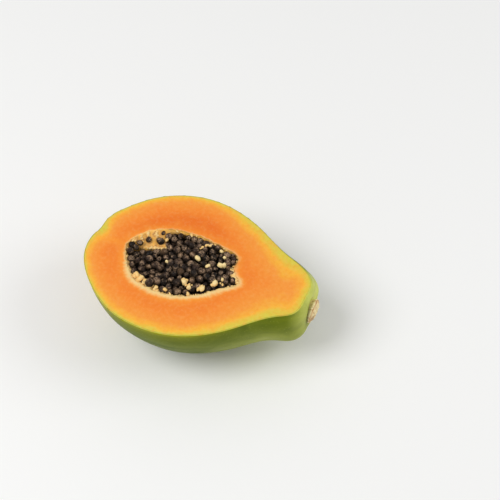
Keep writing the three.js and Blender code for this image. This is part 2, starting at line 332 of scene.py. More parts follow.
class FruitShape:
    """The fruit's surface and cavity in millimetres, with the cut at zero height."""

    LENGTHS = (
        "length", "axis_depth", "axis_droop", "axis_bow", "shoulder_push", "shoulder_radius", "shoulder_width",
        "basin_depth", "basin_radius",
    )

    def __init__(self, scene):
        fruit = scene.papaya_fruit
        cavity = scene.papaya_cavity
        for name in self.LENGTHS:
            setattr(self, name, getattr(fruit, name) / MM)
        self.fullness = even_curve(list(fruit.fullness))
        self.cavity_centre = (cavity.centre[0] / MM, cavity.centre[1] / MM)
        self.cavity_depth = cavity.depth / MM
        self.cavity_fullness = cavity.fullness
        self.outline = self._outline()
        self.seat = self._seat()
        self.top = CAD_BOX[1][2] / MM - self.seat.z - TOP_GAP

    def _seat(self):
        """Where the middle of the cut is in the part's frame, in millimetres."""
        return Vector((
            FRUIT_LOW.x / MM + BLOSSOM_REACH,
            (FRUIT_LOW.y + FRUIT_HIGH.y) / 2 / MM - SIDE_SHIFT,
            FRUIT_HIGH.z / MM,
        ))

    def core(self, u):
        s = 2 * u - 1
        bow, height = -self.axis_bow * (s * s - 1 / 3), -self.axis_depth - self.axis_droop * s
        return Vector((s * self.length / 2, bow, height))

    def skin(self, u, phi):
        """The skin's point at u along the fruit and at the angle phi round it, from the far side."""
        radius = self.length * math.sqrt(max(u * (1 - u), 0)) * self.fullness(u)
        radius *= 1 + RIB_HEIGHT * smoothstep(RIB_FROM, RIB_FULL, u) * math.cos(RIB_COUNT * phi + RIB_TURN)
        off_axis = smoothstep(0, LUMP_FADE, radius)
        for height, at, width, turn, spread in LUMPS:
            radius += off_axis * height * bell(u, at, width) * (0.5 + 0.5 * math.cos(phi - turn)) ** spread
        facing = SHOULDER_EVEN + SHOULDER_TURNED * math.cos(phi - SHOULDER_TURN)
        push = self.shoulder_push * facing * smoothstep(0, SHOULDER_FADE, radius)
        shoulder = push * bell(radius, self.shoulder_radius, self.shoulder_width)
        basin = self.basin_depth * bell(radius, 0, self.basin_radius)
        point = self.core(u)
        point.x += smoothstep(STEM_END_FROM, 1, u) * (shoulder - basin)
        point.y += radius * math.cos(phi)
        point.z += radius * math.sin(phi)
        return point

    def _outline(self):
        """Directions and distances of the cavity's edge from its centre, by a centripetal curve."""
        cx, cy = self.cavity_centre
        points = [Vector((x - cx, y - cy)) for x, y in CAVITY_OUTLINE]
        samples = []
        for i in range(len(points)):
            p0, p1, p2, p3 = (points[(i + k - 1) % len(points)] for k in range(4))
            d0, d1, d2 = ((b - a).length ** 0.5 for a, b in ((p0, p1), (p1, p2), (p2, p3)))
            t1 = ((p1 - p0) / d0 - (p2 - p0) / (d0 + d1) + (p2 - p1) / d1) * d1
            t2 = ((p2 - p1) / d1 - (p3 - p1) / (d1 + d2) + (p3 - p2) / d2) * d1
            for k in range(OUTLINE_STEPS):
                t = k / OUTLINE_STEPS
                c2 = -3 * p1 + 3 * p2 - 2 * t1 - t2
                c3 = 2 * p1 - 2 * p2 + t1 + t2
                p = p1 + t1 * t + c2 * t * t + c3 * t * t * t
                samples.append((math.atan2(p.y, p.x), p.length))
        samples.sort()
        turn = 2 * math.pi
        return [(samples[-1][0] - turn, samples[-1][1]), *samples, (samples[0][0] + turn, samples[0][1])]

    def polar(self, x, y):
        """Direction and distance of a place in the cut, from the cavity's centre."""
        dx, dy = x - self.cavity_centre[0], y - self.cavity_centre[1]
        return math.atan2(dy, dx), math.hypot(dx, dy)

    def place(self, angle, distance, z):
        """The point in that direction and at that distance from the cavity's centre."""
        cx, cy = self.cavity_centre
        return Vector((cx + distance * math.cos(angle), cy + distance * math.sin(angle), z))

    def reach(self, angle):
        """Distance of the cavity's edge from its centre in that direction."""
        low, high = 0, len(self.outline) - 1
        while high - low > 1:
            middle = (low + high) // 2
            if self.outline[middle][0] < angle:
                low = middle
            else:
                high = middle
        (a, ra), (b, rb) = self.outline[low], self.outline[high]
        return ra + (rb - ra) * ((angle - a) / (b - a) if b > a else 0)

    def room(self, x, y):
        """How far a place in the cavity is from its wall, along the line from the centre."""
        angle, far = self.polar(x, y)
        return self.reach(angle) - far

    def bank(self, angle):
        """How far the lining lies as a shelf under the rim, where the far side is bare of seeds."""
        return BANK_REACH * math.exp(-(((angle - BANK_TURN) / BANK_SPREAD) ** 4))

    def on_bank(self, x, y):
        """Whether a place in the cavity is over that shelf."""
        return self.room(x, y) < self.bank(self.polar(x, y)[0]) + BANK_MARGIN

    def ledge(self, angle):
        """How far the torn lining stands out under the rim, most of all at the near left."""
        teeth = 0.55 + 1.1 * (0.5 + noise.noise(Vector((math.cos(angle) * 15, math.sin(angle) * 15, 5))))
        return (0.9 + 0.5 * near_side(angle, 0.1, -0.6) + 2.4 * bell(angle, LEDGE_TURN, LEDGE_SPREAD)) * teeth

    def bed(self, x, y):
        """Height of the seeds' middles at a place in the cavity."""
        angle, far = self.polar(x, y)
        share = far / self.reach(angle)
        wave = BED_WAVE_HEIGHT * math.sin(x * BED_WAVES[0] + 1) * math.cos(y * BED_WAVES[1])
        drop = BARE_DROP * bell(math.dist((x, y), BARE_PATCH), 0, BARE_RADIUS)
        return BED_TOP + BED_CROWN * (1 - share * share) + wave - drop


class Nodes:
    """Short names for the shader nodes that the materials use."""

    def __init__(self, name):
        self.material = bpy.data.materials.new(name)
        self.material.use_nodes = True
        self.tree = self.material.node_tree
        self.shader = next(n for n in self.tree.nodes if n.type == "BSDF_PRINCIPLED")
        self.place = self.add("TexCoord").outputs["Object"]

    def add(self, kind, **settings):
        node = self.tree.nodes.new("ShaderNode" + kind)
        for name, value in settings.items():
            setattr(node, name, value)
        return node

    def set(self, socket, value):
        if isinstance(value, bpy.types.NodeSocket):
            self.tree.links.new(value, socket)
        else:
            socket.default_value = value

    def fill(self, node, values):
        """Sets a node's inputs, each by its name or its number."""
        for key, value in values.items():
            self.set(node.inputs[key], value)

    def texture(self, kind, scale, turn=(0, 0, 0)):
        """A texture on the piece itself; the scale, in features to the metre, is one or one for each axis."""
        mapping = self.add("Mapping")
        scales = scale if isinstance(scale, tuple) else (scale, scale, scale)
        self.fill(mapping, {"Vector": self.place, "Rotation": turn, "Scale": scales})
        node = self.add(kind)
        self.fill(node, {"Vector": mapping.outputs["Vector"], "Scale": 1})
        return node

    def noise(self, scale, detail, rough, distortion=0, turn=(0, 0, 0)):
        node = self.texture("TexNoise", scale, turn)
        self.fill(node, {"Detail": detail, "Roughness": rough, "Distortion": distortion})
        return node.outputs["Fac"]

    def cells(self, scale):
        return self.texture("TexVoronoi", scale).outputs["Distance"]

    def attribute(self, name):
        return self.add("Attribute", attribute_name=name).outputs["Fac"]

    def math(self, operation, first, second=0):
        node = self.add("Math", operation=operation)
        self.fill(node, {0: first, 1: second})
        return node.outputs[0]

    def times(self, first, second):
        return self.math("MULTIPLY", first, second)

    def plus(self, first, second):
        return self.math("ADD", first, second)

    def centred(self, value):
        """The value less a half, so that a noise goes both ways from zero."""
        return self.math("SUBTRACT", value, 0.5)

    def range(self, value, low, high, to_low=0, to_high=1):
        """The value eased from one range to another, and held at its ends."""
        node = self.add("MapRange", interpolation_type="SMOOTHSTEP")
        self.fill(node, dict(enumerate((value, low, high, to_low, to_high))))
        return node.outputs["Result"]

    def ramp(self, value, *stops):
        """A colour ramp; each stop is a place and a colour."""
        node = self.add("ValToRGB")
        elements = node.color_ramp.elements
        while len(elements) < len(stops):
            elements.new(0.5)
        for element, (place, tint) in zip(elements, stops):
            element.position = place
            element.color = tint
        self.set(node.inputs["Fac"], value)
        return node.outputs["Color"]

    def mix(self, share, first, second):
        node = self.add("Mix", data_type="RGBA")
        self.fill(node, {"Factor": share, 6: first, 7: second})
        return node.outputs[2]

    def tinted(self, base, *tints):
        """The base with tints over it; each has its colour, its strength and its share of the place."""
        for tint, strength, share in tints:
            base = self.mix(self.times(share, strength), base, tint)
        return base

    def finish(self, base, roughness, bump=None, **fixed):
        """The material; bump is a height with its distance and strength."""
        self.fill(self.shader, {"Base Color": base, "Roughness": roughness})
        if bump:
            node = self.add("Bump")
            self.fill(node, dict(zip(("Height", "Distance", "Strength"), bump)))
            self.set(self.shader.inputs["Normal"], node.outputs["Normal"])
        for name, value in fixed.items():
            self.shader.inputs[name.replace("_", " ")].default_value = value
        return self.material


def make_piece(name, bm, materials, slot, *replaced):
    """Turns a bmesh in millimetres into a finished smooth piece that rides on the part."""
    for face in bm.faces:
        face.smooth = True
    bmesh.ops.scale(bm, vec=(MM, MM, MM), verts=bm.verts)
    mesh = bpy.data.meshes.new(name)
    bm.to_mesh(mesh)
    bm.free()
    for material in materials:
        mesh.materials.append(material)
    piece = bpy.data.objects.new(name, mesh)
    bpy.context.scene.collection.objects.link(piece)
    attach(piece, "root")
    if replaced:
        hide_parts(*replaced)
    return piece


def add_lump(bm, size, matrix, *waves):
    """A soft lump, roughened by waves of noise; each has how often it comes and its height."""
    made = bmesh.ops.create_icosphere(bm, subdivisions=2, radius=size, matrix=matrix)["verts"]
    for v in made:
        v.co += sum((noise.noise_vector(v.co * often) * height for often, height in waves), Vector())
    return made


def flesh_material(colours):
    """Wet orange flesh: coloured by its depth from the skin and from the cavity."""
    n = Nodes("papaya_flesh")
    blotch = n.noise(95, 4, 0.6)
    grain = n.noise(420, 3, 0.6)
    depth = n.attribute("skin_depth")
    drift = n.times(n.centred(blotch), n.range(depth, 0, 0.16, 0, 0.28))
    flesh = n.ramp(
        n.plus(drift, depth),
        (0, colours.rind), (0.13, colours.outer), (0.3, colours.middle), (0.62, colours.deep),
        (1, colours.deepest),
    )
    halo = n.plus(n.times(n.centred(n.noise(260, 4, 0.6)), 0.5), n.attribute("halo"))
    flesh = n.tinted(
        flesh,
        (colours.glow, 0.85, n.range(n.attribute("glow"), 0, 1)),
        (colours.skin_line, 1, n.range(n.attribute("edge"), 0.2, 0.9)),
        (colours.middle, 0.3, n.range(n.noise(150, 3, 0.55), 0.46, 0.7)),
        (colours.halo, 0.09, n.range(grain, 0.48, 0.66)),
        (colours.deepest, 0.16, n.range(grain, 0.5, 0.34)),
        (colours.halo, 1, n.range(halo, 0.12, 0.85)),
    )
    height = n.plus(n.times(grain, 0.6), n.noise(1300, 2, 0.5))
    return n.finish(
        flesh, n.range(blotch, 0.3, 0.7, 0.34, 0.5), (height, 0.00025, 0.35), Specular_IOR_Level=0.32,
        Subsurface_Weight=0.08, Subsurface_Scale=0.003, Subsurface_Radius=(1.0, 0.45, 0.15),
    )


def lining_material(colours):
    """The cavity's pale fibrous lining with brown fibre roots, painted shadows of the lone seeds and brown
    scars where seeds were torn out.
    """
    n = Nodes("papaya_lining")
    fibres = n.noise((330, 330, 80), 4, 0.65, 0.6)
    base = n.tinted(
        n.mix(n.range(fibres, 0.35, 0.65, 0, 0.55), colours.lining, colours.halo),
        (colours.fibre, 0.6, n.range(fibres, 0.52, 0.66)),
        (colours.halo, 0.8, n.attribute("halo")),
        # Painted shadows of the lone seeds, and the brown scars of torn-out seeds
        (colours.fibre, n.attribute("stain"), n.range(fibres, 0.3, 0.6, 0.35, 0.85)),
        (colours.fibre, 0.6, n.range(n.cells((130, 130, 110)), 0, 0.22, 1, 0)),
        (colours.middle, 0.7, n.range(n.attribute("shade"), 0, 1)),
    )
    return n.finish(base, 0.45, (fibres, 0.0006, 0.8), Specular_IOR_Level=0.3)


def skin_material(colours):
    """Thin waxy skin: streaked greens with ripening yellow patches and fine pale specks."""
    n = Nodes("papaya_skin")
    streaks = n.noise((16, 90, 90), 5, 0.6, 0.4, (0.7, 0, 0))
    patches = n.noise((22, 30, 30), 3, 0.5, 0.3)
    fine = n.noise((70, 420, 420), 4, 0.65)
    ripeness = n.plus(n.attribute("ripeness"), n.times(n.centred(patches), 0.9))
    base = n.tinted(
        n.mix(n.range(streaks, 0.34, 0.8, 0, 0.85), colours.olive, colours.deep),
        (colours.ripe, 0.85, n.range(ripeness, 0.35, 0.9)),
        (colours.blush, 0.7, n.range(ripeness, 0.75, 1.15)),
        (colours.deep, 0.3, n.range(fine, 0.5, 0.72)),
        (colours.under_cut, 1, n.attribute("under_cut")),
        (colours.sage, n.attribute("sage"), n.range(streaks, 0.25, 0.75, 1, 0.7)),
        # Painted shade in the hollow round the stem
        (colours.groove_shade, 0.85, n.attribute("groove_shade")),
        (colours.sage, 0.35, n.range(n.cells(620), 0.05, 0.2, 1, 0)),
    )
    height = n.plus(n.times(fine, 0.5), n.noise(900, 2, 0.5))
    return n.finish(base, n.range(streaks, 0.3, 0.7, 0.4, 0.52), (height, 0.0002, 0.4), Specular_IOR_Level=0.13)


def seed_material(colours):
    """Wrinkled seeds in a thin clear coat, with light ridges; the tone runs from black to cream."""
    n = Nodes("papaya_seed_coat")
    tone = n.attribute("tone")
    wrinkles = n.noise(760, 4, 0.65, 1.2)
    ridges = n.math("ABSOLUTE", n.centred(wrinkles))
    blotch = n.noise(230, 3, 0.5)
    base = n.tinted(
        n.ramp(tone, (0, colours.dark), (0.35, colours.brown), (0.55, colours.olive), (0.9, colours.cream)),
        # Wrinkle crests lightened, partly the coat's own tan and partly a painted highlight
        (colours.ridge_highlight, 0.92, n.times(n.range(ridges, 0.075, 0), n.range(blotch, 0.44, 0.6))),
        (n.mix(n.range(wrinkles, 0.3, 0.7), colours.cream, colours.butter), 1, n.range(tone, 0.7, 0.9)),
        # Painted shade on each seed's lower flanks and all over the mound under the seeds
        (colours.painted_shade, 0.9, n.attribute("under")),
    )
    height = n.plus(n.times(ridges, 0.7), n.times(blotch, 0.5))
    height = n.times(height, n.range(tone, 0.6, 0.9, 1, 0.2))
    return n.finish(
        base, n.range(wrinkles, 0.3, 0.7, 0.34, 0.55), (height, 0.0028, 1),
        Specular_IOR_Level=0.22, Coat_Weight=0.14, Coat_Roughness=0.25,
    )


def pulp_material(colours):
    """Pale wet fibres of the lining."""
    n = Nodes("papaya_pulp")
    fibres = n.noise(500, 3, 0.6)
    base = n.mix(n.range(fibres, 0.35, 0.7, 0, 0.4), colours.halo, colours.lining)
    return n.finish(base, 0.42, (fibres, 0.0005, 0.6), Specular_IOR_Level=0.3)


def stump_material(colours):
    """Dry cork with a pale rim, a tan ring and a brown heart."""
    n = Nodes("papaya_stump")
    grain = n.noise((160, 620, 620), 4, 0.7)
    rings = n.ramp(
        n.attribute("share"),
        (0, colours.heart), (0.14, colours.cork), (0.3, colours.rim), (0.5, colours.rim), (0.6, colours.cork),
        (0.68, colours.ring), (0.75, colours.rim), (0.92, colours.rim), (1, colours.cork),
    )
    base = n.tinted(
        rings,
        (colours.heart, 0.7, n.range(n.attribute("hollow"), 0.15, 0.75)),
        (colours.ring, 0.75, n.range(grain, 0.48, 0.62)),
        (colours.heart, 0.6, n.range(grain, 0.56, 0.72)),
        (colours.rim, 0.5, n.range(grain, 0.45, 0.2)),
    )
    return n.finish(base, n.range(grain, 0.3, 0.7, 0.65, 0.85), (grain, 0.0008, 0.9))


def merge_rim(bm, nearest):
    """Merges the open rim's vertices that are too close together, one after another round the cut."""
    rim = sorted((v for v in bm.verts if v.is_boundary), key=lambda v: math.atan2(v.co.y, v.co.x))
    last, merged = rim[0], {}
    for v in rim[1:]:
        if (v.co - last.co).length < nearest:
            merged[v] = last
        else:
            last = v
    bmesh.ops.weld_verts(bm, targetmap=merged)


class PAPAYA_OT_fruit_half(bpy.types.Operator):
    """Skin and flesh in one closed body, with the seed cavity open to the cut."""

    bl_idname = "papaya.fruit_half"
    bl_label = "Fruit half"

    LAYERS = ("skin_depth", "edge", "halo", "glow", "shade", "stain", "ripeness", "sage", "groove_shade", "under_cut")
    FLESH_SLOT = 1
    LINING_SLOT = 2
    # Share of the way from the skin to the cavity at each loop of the cut face
    CUT_LOOPS = (0.012, 0.03, 0.055, 0.09, 0.14, 0.2, 0.28, 0.37, 0.47, 0.57, 0.67, 0.76, 0.84, 0.9, 0.95, 1.0)
    WALL_LOOPS = 38
    WALL_CROWDING = 1.4
    SKIN_WAVES = (16, 0.12)
    MERGE_UNDER = 0.25
    DEEPEST_FLESH = 25
    SKIN_LINE = 1.1
    GLOW_REACH = 8
    RAY_WIDTH = 3.6
    LEDGE_HEIGHT = 2.6

    def execute(self, context):
        shape = FruitShape(context.scene)
        fruit = context.scene.papaya_fruit
        bm = bmesh.new()
        for name in self.LAYERS:
            setattr(self, name, bm.verts.layers.float.new(name))
        self.half_skin(bm, shape, fruit)
        rim = [e for e in bm.edges if e.is_boundary]
        polar, rim = self.cut_face(bm, shape, fruit, rim, self.rim_tree(rim))
        self.cavity_wall(bm, shape, context.scene.papaya_cavity, polar, rim)
        bmesh.ops.recalc_face_normals(bm, faces=bm.faces)
        bmesh.ops.translate(bm, vec=shape.seat, verts=bm.verts)
        for v in bm.verts:
            v.co.x = max(v.co.x, FRUIT_LOW.x / MM)
            v.co.y = max(FRUIT_LOW.y / MM, min(v.co.y, FRUIT_HIGH.y / MM))
        flesh = context.scene.papaya_flesh
        materials = [skin_material(context.scene.papaya_skin), flesh_material(flesh), lining_material(flesh)]
        make_piece("fruit_skin_and_flesh", bm, materials, "fruit", "fruit_half")
        return {"FINISHED"}

    def half_skin(self, bm, shape, fruit):
        """The skin under the cut, from a sphere whose poles are the fruit's two ends."""
        bmesh.ops.create_uvsphere(bm, u_segments=fruit.around, v_segments=fruit.along, radius=1)
        rest = FRUIT_LOW.z / MM - shape.seat.z
        wave_length, wave_height = self.SKIN_WAVES
        for v in bm.verts:
            u, phi = clamp01((v.co.z + 1) / 2), math.atan2(v.co.y, v.co.x)
            point = shape.skin(u, phi)
            swell = wave_height * noise.noise(point / wave_length) * smoothstep(0, 1.5, -point.z)
            v.co = point + Vector((0, math.cos(phi), math.sin(phi))) * swell
            v.co.z = max(v.co.z, rest)
            self.colour_skin(v, point, math.dist(point.yz, shape.core(u).yz), u, phi)
        bmesh.ops.bisect_plane(
            bm, geom=bm.verts[:] + bm.edges[:] + bm.faces[:], dist=1e-5,
            plane_co=(0, 0, 0), plane_no=(0, 0, 1), clear_outer=True,
        )
        merge_rim(bm, self.MERGE_UNDER)
        for v in bm.verts:
            if v.is_boundary:
                v.co.z = 0

    def colour_skin(self, v, point, from_core, u, phi):
        """Where the skin is pale at the stem end, partly with painted light on its far side, dark with painted
        shade in the hollow round the stem, lighter with a painted sheen low on the neck, light under the cut,
        and ripe.
        """
        # The stem end's pale green: partly its own, and partly painted light that is strongest on its far side
        near_end = smoothstep(0.9, 0.985, u) * (0.45 + 0.55 * smoothstep(-1, 0.4, math.sin(phi + 1.1)))
        # Painted sheen: pale sage on the neck's skin, more the lower it lies
        lower_sheen = 0.4 * smoothstep(5, 26, -point.z) * smoothstep(10, 50, point.x)
        v[self.sage] = max(near_end, lower_sheen)
        turned = (0.5 - 0.5 * math.cos(phi + 0.3)) ** 2
        # Painted shade: darker in the hollow round the stem, most on its near side
        v[self.groove_shade] = smoothstep(0.9, 1, u) * bell(from_core, 8.6, 2.6) * turned
        light = 0.27 * smoothstep(-15, -2, point.z) + 0.6 * smoothstep(-3.6, 0, point.z)
        v[self.under_cut] = light * (1 - smoothstep(-10, 45, point.x))
        far_side = (0.5 + 0.5 * math.cos(phi + 0.5)) * (1 - smoothstep(0.55, 0.9, u))
        v[self.ripeness] = 0.15 + 0.45 * far_side + 0.5 * (1 - smoothstep(0, 0.35, u))

    def rim_tree(self, edges):
        """A finder of the nearest point on the skin's edge, from points close together along it."""
        samples = [e.verts[0].co.lerp(e.verts[1].co, k / 4) for e in edges for k in range(4)]
        tree = kdtree.KDTree(len(samples))
        for i, co in enumerate(samples):
            tree.insert(co, i)
        tree.balance()
        return tree

    def next_loop(self, bm, rim, polar, slot):
        """A loop pulled out of the rim; its vertices take over the direction and distance of those before."""
        before = set(bm.faces)
        made = bmesh.ops.extrude_edge_only(bm, edges=rim)["geom"]
        for face in set(bm.faces) - before:
            face.material_index = slot
        moved = {}
        for v in made:
            if isinstance(v, bmesh.types.BMVert):
                moved[v] = next(polar[e.other_vert(v)] for e in v.link_edges if e.other_vert(v) in polar)
        return moved, [item for item in made if isinstance(item, bmesh.types.BMEdge)]

    def cut_face(self, bm, shape, fruit, rim, outer):
        """Loops across the cut from the skin to the cavity."""
        polar = {}
        for v in bm.verts:
            if v.is_boundary:
                polar[v] = shape.polar(v.co.x, v.co.y)
                v.co.z = -fruit.edge_roll / MM
        for share in self.CUT_LOOPS:
            polar, rim = self.next_loop(bm, rim, polar, self.FLESH_SLOT)
            for v, (angle, far) in polar.items():
                near = self.torn_reach(shape, angle)
                distance = far + (near - far) * share
                v.co = shape.place(angle, distance, 0)
                self.colour_cut(v, outer.find(v.co)[2], distance - near, angle)
        return polar, rim

    def torn_reach(self, shape, angle):
        """The cavity's edge with the small tears of its lining."""
        place = Vector((math.cos(angle), math.sin(angle), 0))
        fine = 0.35 + 0.6 * near_side(angle, 0.3, -0.5)
        return shape.reach(angle) + (noise.noise(place * 9) * 0.6 + noise.noise(place * 26) * fine)

    def colour_cut(self, v, depth, from_cavity, angle):
        """How deep the flesh's colour is under the skin, and the halo and the glow at the cavity."""
        x, y = v.co.x, v.co.y
        tip = 1 - 0.65 * smoothstep(54, 68, x)
        neck = smoothstep(0, 60, x) * tip
        rind = 0.32 * tip * smoothstep(-6, 30, x) * smoothstep(0.3, 2, depth) * (1 - smoothstep(3.5, 9, depth))
        far = smoothstep(-10, 40, y) * (1 - smoothstep(-12, 26, x)) * smoothstep(-62, -38, x)
        notch = 0.85 * bell(math.dist((x, y), NOTCH), 0, NOTCH_RADIUS)
        blossom = 0.3 * smoothstep(-40, -66, x)
        stretch = 1 - 0.6 * neck * smoothstep(0.4, 3.5, depth) + 0.35 * far + blossom
        share = depth / self.DEEPEST_FLESH * stretch * (1 - rind) * (1 - notch)
        v[self.skin_depth] = min(share, 0.72 + 0.4 * far)
        v[self.edge] = clamp01(1 - depth / self.SKIN_LINE)
        near = near_side(angle)
        width = 1.6 + 2.8 * near + 3 * smoothstep(0.6, 1, math.cos(angle)) + 2 * bell(angle, -2.35, 0.5)
        v[self.halo] = clamp01(1 - from_cavity / width) * (0.45 + 0.55 * near)
        glow = clamp01(1 - from_cavity / self.GLOW_REACH) * (0.55 + 0.45 * near)
        v[self.glow] = max(glow, 0.5 * self.ray(v.co))

    def ray(self, place):
        """A yellow ray in the flesh, from the blossom end's notch to the corner of the cavity."""
        start, stop = Vector((*RAY[0], 0)), Vector((*RAY[1], 0))
        share = clamp01((place - start).dot(stop - start) / (stop - start).length_squared)
        return bell((place - start.lerp(stop, share)).length, 0, self.RAY_WIDTH)

    def cavity_wall(self, bm, shape, cavity, polar, rim):
        """The bowl of the cavity, down to its closed bottom."""
        for k in range(1, self.WALL_LOOPS + 1):
            lower = (k / (self.WALL_LOOPS + 1)) ** self.WALL_CROWDING * math.pi / 2
            z, inward = -shape.cavity_depth * math.sin(lower), math.cos(lower)
            polar, rim = self.next_loop(bm, rim, polar, self.LINING_SLOT)
            for v, (angle, _) in polar.items():
                place = Vector((math.cos(angle) * 4, math.sin(angle) * 4, z * 0.18))
                ripple = cavity.raggedness / MM * (noise.noise(place * 2.4) + 0.6 * noise.noise(place * 6))
                distance = (self.torn_reach(shape, angle) + ripple) * inward**shape.cavity_fullness
                distance -= shape.bank(angle) * smoothstep(-0.6, BANK_DROP, -z) * inward
                distance -= shape.ledge(angle) * smoothstep(0, self.LEDGE_HEIGHT, -z) * inward
                v.co = shape.place(angle, distance, z)
                v[self.shade] = clamp01((-z - 5) / 14)
                v[self.halo] = near_side(angle) * (1 - smoothstep(4, 9, -z))
                # Painted seed shadows and torn-seed scars
                v[self.stain] = self.seed_shadow_and_scar_at(v.co.x, v.co.y)
        before = set(bm.faces)
        bmesh.ops.holes_fill(bm, edges=rim, sides=0)
        for face in set(bm.faces) - before:
            face.material_index = self.LINING_SLOT

    def seed_shadow_and_scar_at(self, x, y):
        """How brown the lining is: a painted shadow a little left of and below each lone seed, and the real
        brown spots where seeds were torn out.
        """
        painted_shadows = (bell(math.dist((x + 0.8, y + 0.5), seed[:2]), 0, seed[3] + 0.9) for seed in LONE_SEEDS)
        torn = (bell(math.dist((x, y), scar[:2]), 0, scar[2]) for scar in LINING_SCARS)
        return max(*painted_shadows, *torn)


def seed_numbers(start):
    """Random numbers from 0 to 1, the same on every run."""
    full = 0xFFFFFFFF
    state = start

    def draw():
        nonlocal state
        state = (state + 0x6D2B79F5) & full
        t = state
        t = ((t ^ (t >> 15)) * (t | 1)) & full
        t ^= (t + (((t ^ (t >> 7)) * (t | 61)) & full)) & full
        return ((t ^ (t >> 14)) & full) / 4294967296

    return draw


class Seed:
    """One seed's place and radius in millimetres, and its kind."""

    def __init__(self, x, y, radius, lift=0, fixed=False, pale=False):
        self.x, self.y, self.radius, self.lift, self.fixed, self.pale = x, y, radius, lift, fixed, pale

    def under_pale(self):
        """Whether a pale seed lies right over this one."""
        return any(math.dist((self.x, self.y), (x, y)) < radius for x, y, radius in PALE_SEEDS)


def spread_out(seeds, shape):
    """Pushes seeds that are too close apart, and those in the wall back inside."""
    for i, a in enumerate(seeds):
        for b in seeds[:i]:
            dx, dy = a.x - b.x, a.y - b.y
            apart = math.hypot(dx, dy) + 1e-6
            short = SEED_SPACING * (a.radius + b.radius) / 2 - apart
            if short <= 0:
                continue
            share = short / apart / 2
            if not a.fixed:
                a.x += dx * share
                a.y += dy * share
            if not b.fixed:
                b.x -= dx * share
                b.y -= dy * share
    cx, cy = shape.cavity_centre
    for seed in seeds:
        lack = seed.radius + SEED_ROOM - shape.room(seed.x, seed.y)
        if lack > 0:
            far = math.hypot(seed.x - cx, seed.y - cy)
            seed.x -= (seed.x - cx) * lack / far
            seed.y -= (seed.y - cy) * lack / far


def thrown_seeds(shape, settings, count, fixed, start):
    """Seeds thrown into the cavity by the same rule as the solid's, then spread out."""
    draw = seed_numbers(start)
    xs, ys = [p[0] for p in CAVITY_OUTLINE], [p[1] for p in CAVITY_OUTLINE]
    seeds = [Seed(x, y, radius, 1, fixed=True) for x, y, radius in fixed]
    while len(seeds) < count:
        x = min(xs) + (max(xs) - min(xs)) * draw()
        y = min(ys) + (max(ys) - min(ys)) * draw()
        radius = (settings.radius + settings.spread * (2 * draw() - 1)) / MM
        lift = settings.lift / MM * (2 * draw() - 1)
        if shape.room(x, y) > radius + SEED_ROOM:
            seeds.append(Seed(x, y, radius, lift))
    for _ in range(SEED_PASSES):
        spread_out(seeds, shape)
    return seeds


